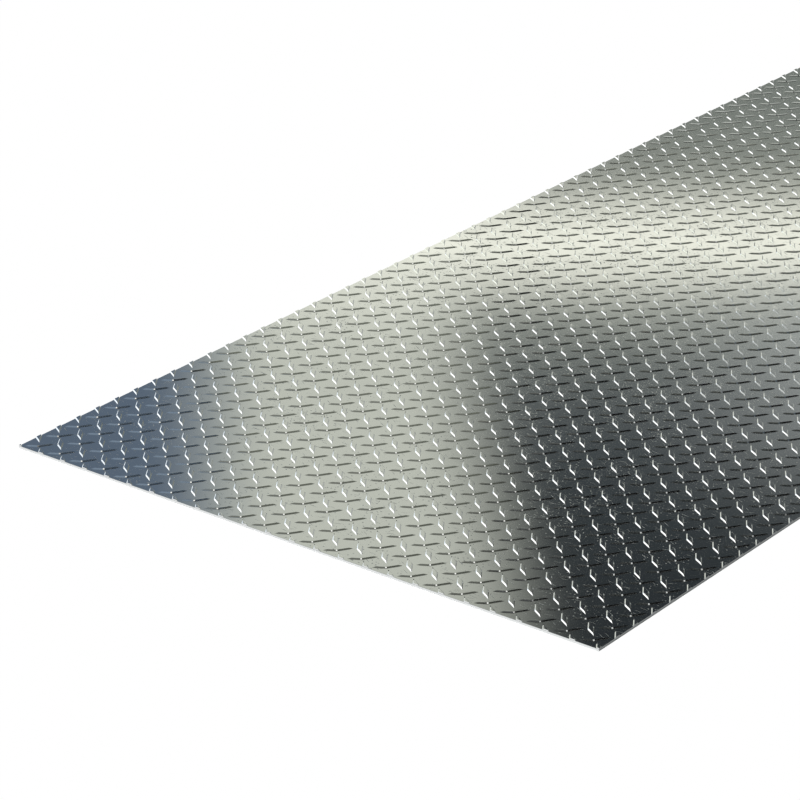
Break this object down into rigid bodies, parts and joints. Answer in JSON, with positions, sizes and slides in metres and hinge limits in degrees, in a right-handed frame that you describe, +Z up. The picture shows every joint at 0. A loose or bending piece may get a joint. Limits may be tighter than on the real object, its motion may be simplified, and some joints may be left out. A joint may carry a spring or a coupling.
{
  "type": "aluminium tread plate",
  "caption": "Flat rectangular aluminium sheet with raised diamond lugs over its upper face, a non-slip surface for floors, steps, ramps and vehicle beds.",
  "frame": {"origin": "centre of the sheet's plain underside, which lies on the floor", "axes": "+X along the sheet's length, +Y across its width, +Z up out of the treaded face"},
  "size_m": [2.4384, 0.6096, 0.002],
  "materials": {
    "aluminium": "bright rolled mill finish with fine scuffs"
  },
  "bodies": {
    "root": {"tread_plate": "aluminium"}
  },
  "joints": []
}
